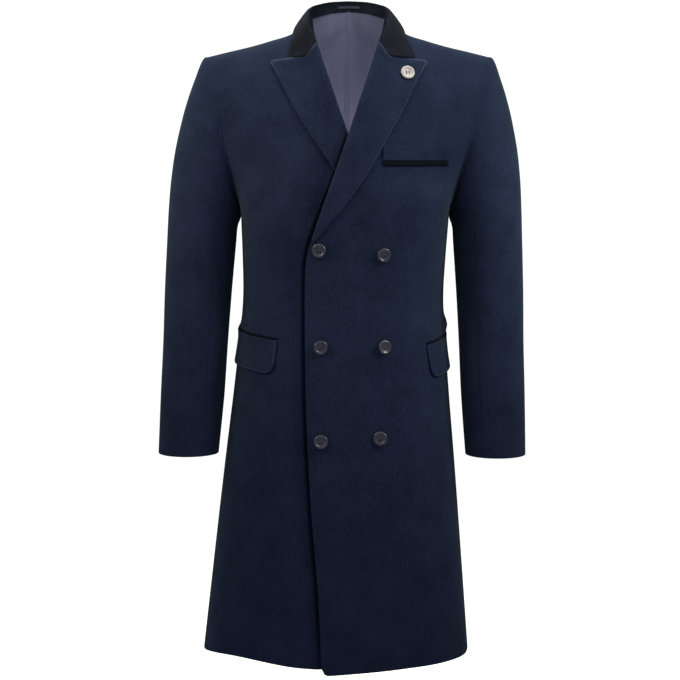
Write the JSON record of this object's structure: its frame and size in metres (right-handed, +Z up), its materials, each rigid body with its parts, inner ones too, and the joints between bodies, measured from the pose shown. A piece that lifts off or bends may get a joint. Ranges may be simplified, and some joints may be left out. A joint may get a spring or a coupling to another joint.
{
  "type": "overcoat",
  "caption": "Slim knee-length double-breasted wool overcoat with a velvet collar, peak lapels, flap hip pockets and a welt breast pocket, filled out as worn and hollow.",
  "frame": {"origin": "on the neck axis at the height of the shoulder line, where the coat is held by the shoulders of its wearer or a stand", "axes": "+Z up, the coat faces -Y, +X is the wearer's left"},
  "size_m": [0.6099, 0.318, 1.09],
  "materials": {
    "wool": "soft brushed navy wool",
    "velvet": "black velvet pile",
    "lining": "grey mauve satin",
    "tape": "plain grey tape",
    "button": "dark, half polished",
    "pale_button": "ivory, half polished"
  },
  "bodies": {
    "root": {"front_left": "wool", "front_right": "wool", "back_left": "wool", "back_right": "wool", "sleeve_top_left": "wool", "sleeve_under_left": "wool", "sleeve_top_right": "wool", "sleeve_under_right": "wool", "lapel_left": "wool", "lapel_right": "wool", "hip_flap_left": "wool", "hip_flap_right": "wool", "breast_welt": "wool", "collar": "velvet", "breast_welt_trim": "velvet", "hip_jet_left": "velvet", "hip_jet_right": "velvet", "back_lining": "lining", "hanger_loop": "tape", "button_1": "button", "button_2": "button", "button_3": "button", "button_4": "button", "button_5": "button", "button_6": "button", "lapel_button": "pale_button"}
  },
  "joints": []
}
